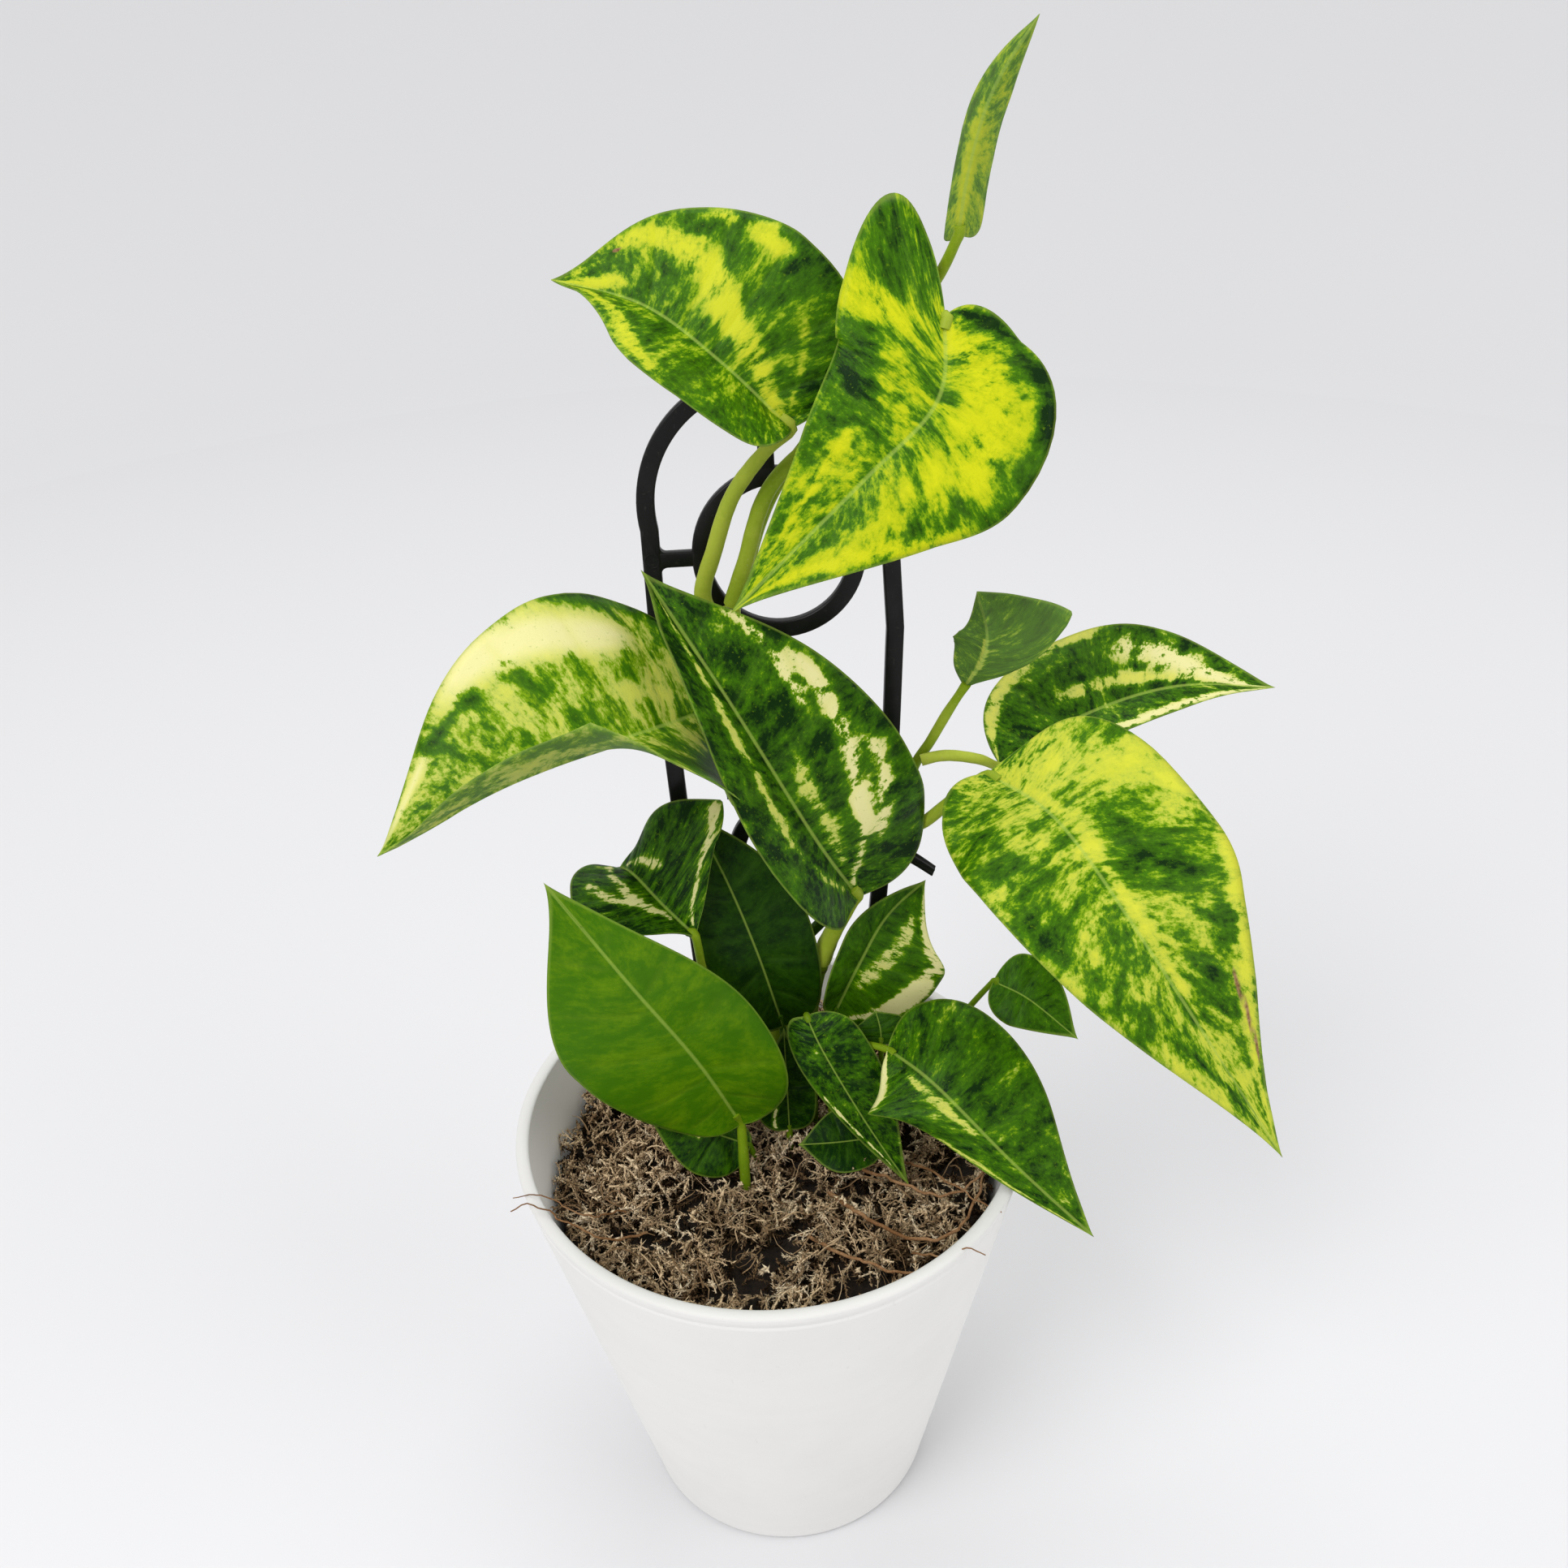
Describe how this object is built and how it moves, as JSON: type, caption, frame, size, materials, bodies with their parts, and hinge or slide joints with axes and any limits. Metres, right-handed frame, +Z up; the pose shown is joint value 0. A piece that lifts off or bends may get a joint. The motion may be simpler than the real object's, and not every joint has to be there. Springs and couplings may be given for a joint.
{
  "type": "potted pothos plant",
  "caption": "Variegated pothos vine with heart-shaped leaves, tied to a small looped trellis in a tapered white pot filled with soil and moss.",
  "frame": {"origin": "centre of the pot's flat base", "axes": "+Z up, -Y towards the front of the plant, +X to its right as seen from the front"},
  "size_m": [0.224, 0.1398, 0.401],
  "materials": {
    "pot": "matte white, fine turned lines",
    "soil": "dark damp soil",
    "moss": "loose light-brown fibres",
    "trellis": "black, slight sheen",
    "tie": "black flat strap",
    "stem_green": "smooth yellow-green stem",
    "stem_dark": "smooth dark green stem",
    "leaf_green": "satin leaf, green with yellow streaks",
    "leaf_dark": "satin leaf, dark green",
    "leaf_lime": "satin leaf, yellow-green with green streaks",
    "leaf_cream": "satin leaf, cream patches on green"
  },
  "bodies": {
    "root": {"pot": "pot", "soil": "soil", "moss": "moss", "trellis": "trellis", "tie_left": "tie", "tie_right": "tie", "vine_main": "stem_green", "vine_old": "stem_dark", "vine_right": "stem_dark", "vine_front": "stem_green", "stalk_top_spear": "stem_green", "stalk_upper_left": "stem_green", "stalk_upper_right": "stem_green", "stalk_left_cream": "stem_green", "stalk_centre": "stem_green", "stalk_right_front": "stem_green", "stalk_right_back": "stem_green", "stalk_small_twisted": "stem_green", "stalk_low_left": "stem_green", "stalk_small_folded": "stem_green", "stalk_back_left": "stem_green", "stalk_back_right": "stem_green", "stalk_low_centre": "stem_green", "stalk_low_right": "stem_green", "stalk_tiny_back": "stem_green", "stalk_under_left": "stem_green", "stalk_dark_centre": "stem_green", "stalk_low_front": "stem_green", "stalk_right_small": "stem_green", "leaf_top_spear": "leaf_lime", "leaf_upper_left": "leaf_green", "leaf_upper_right": "leaf_lime", "leaf_left_cream": "leaf_cream", "leaf_centre": "leaf_green", "leaf_right_front": "leaf_lime", "leaf_right_back": "leaf_green", "leaf_small_twisted": "leaf_green", "leaf_low_left": "leaf_green", "leaf_small_folded": "leaf_green", "leaf_back_left": "leaf_dark", "leaf_back_right": "leaf_green", "leaf_low_centre": "leaf_dark", "leaf_low_right": "leaf_green", "leaf_tiny_back": "leaf_green", "leaf_under_left": "leaf_dark", "leaf_dark_centre": "leaf_dark", "leaf_low_front": "leaf_dark", "leaf_right_small": "leaf_green"}
  },
  "joints": []
}
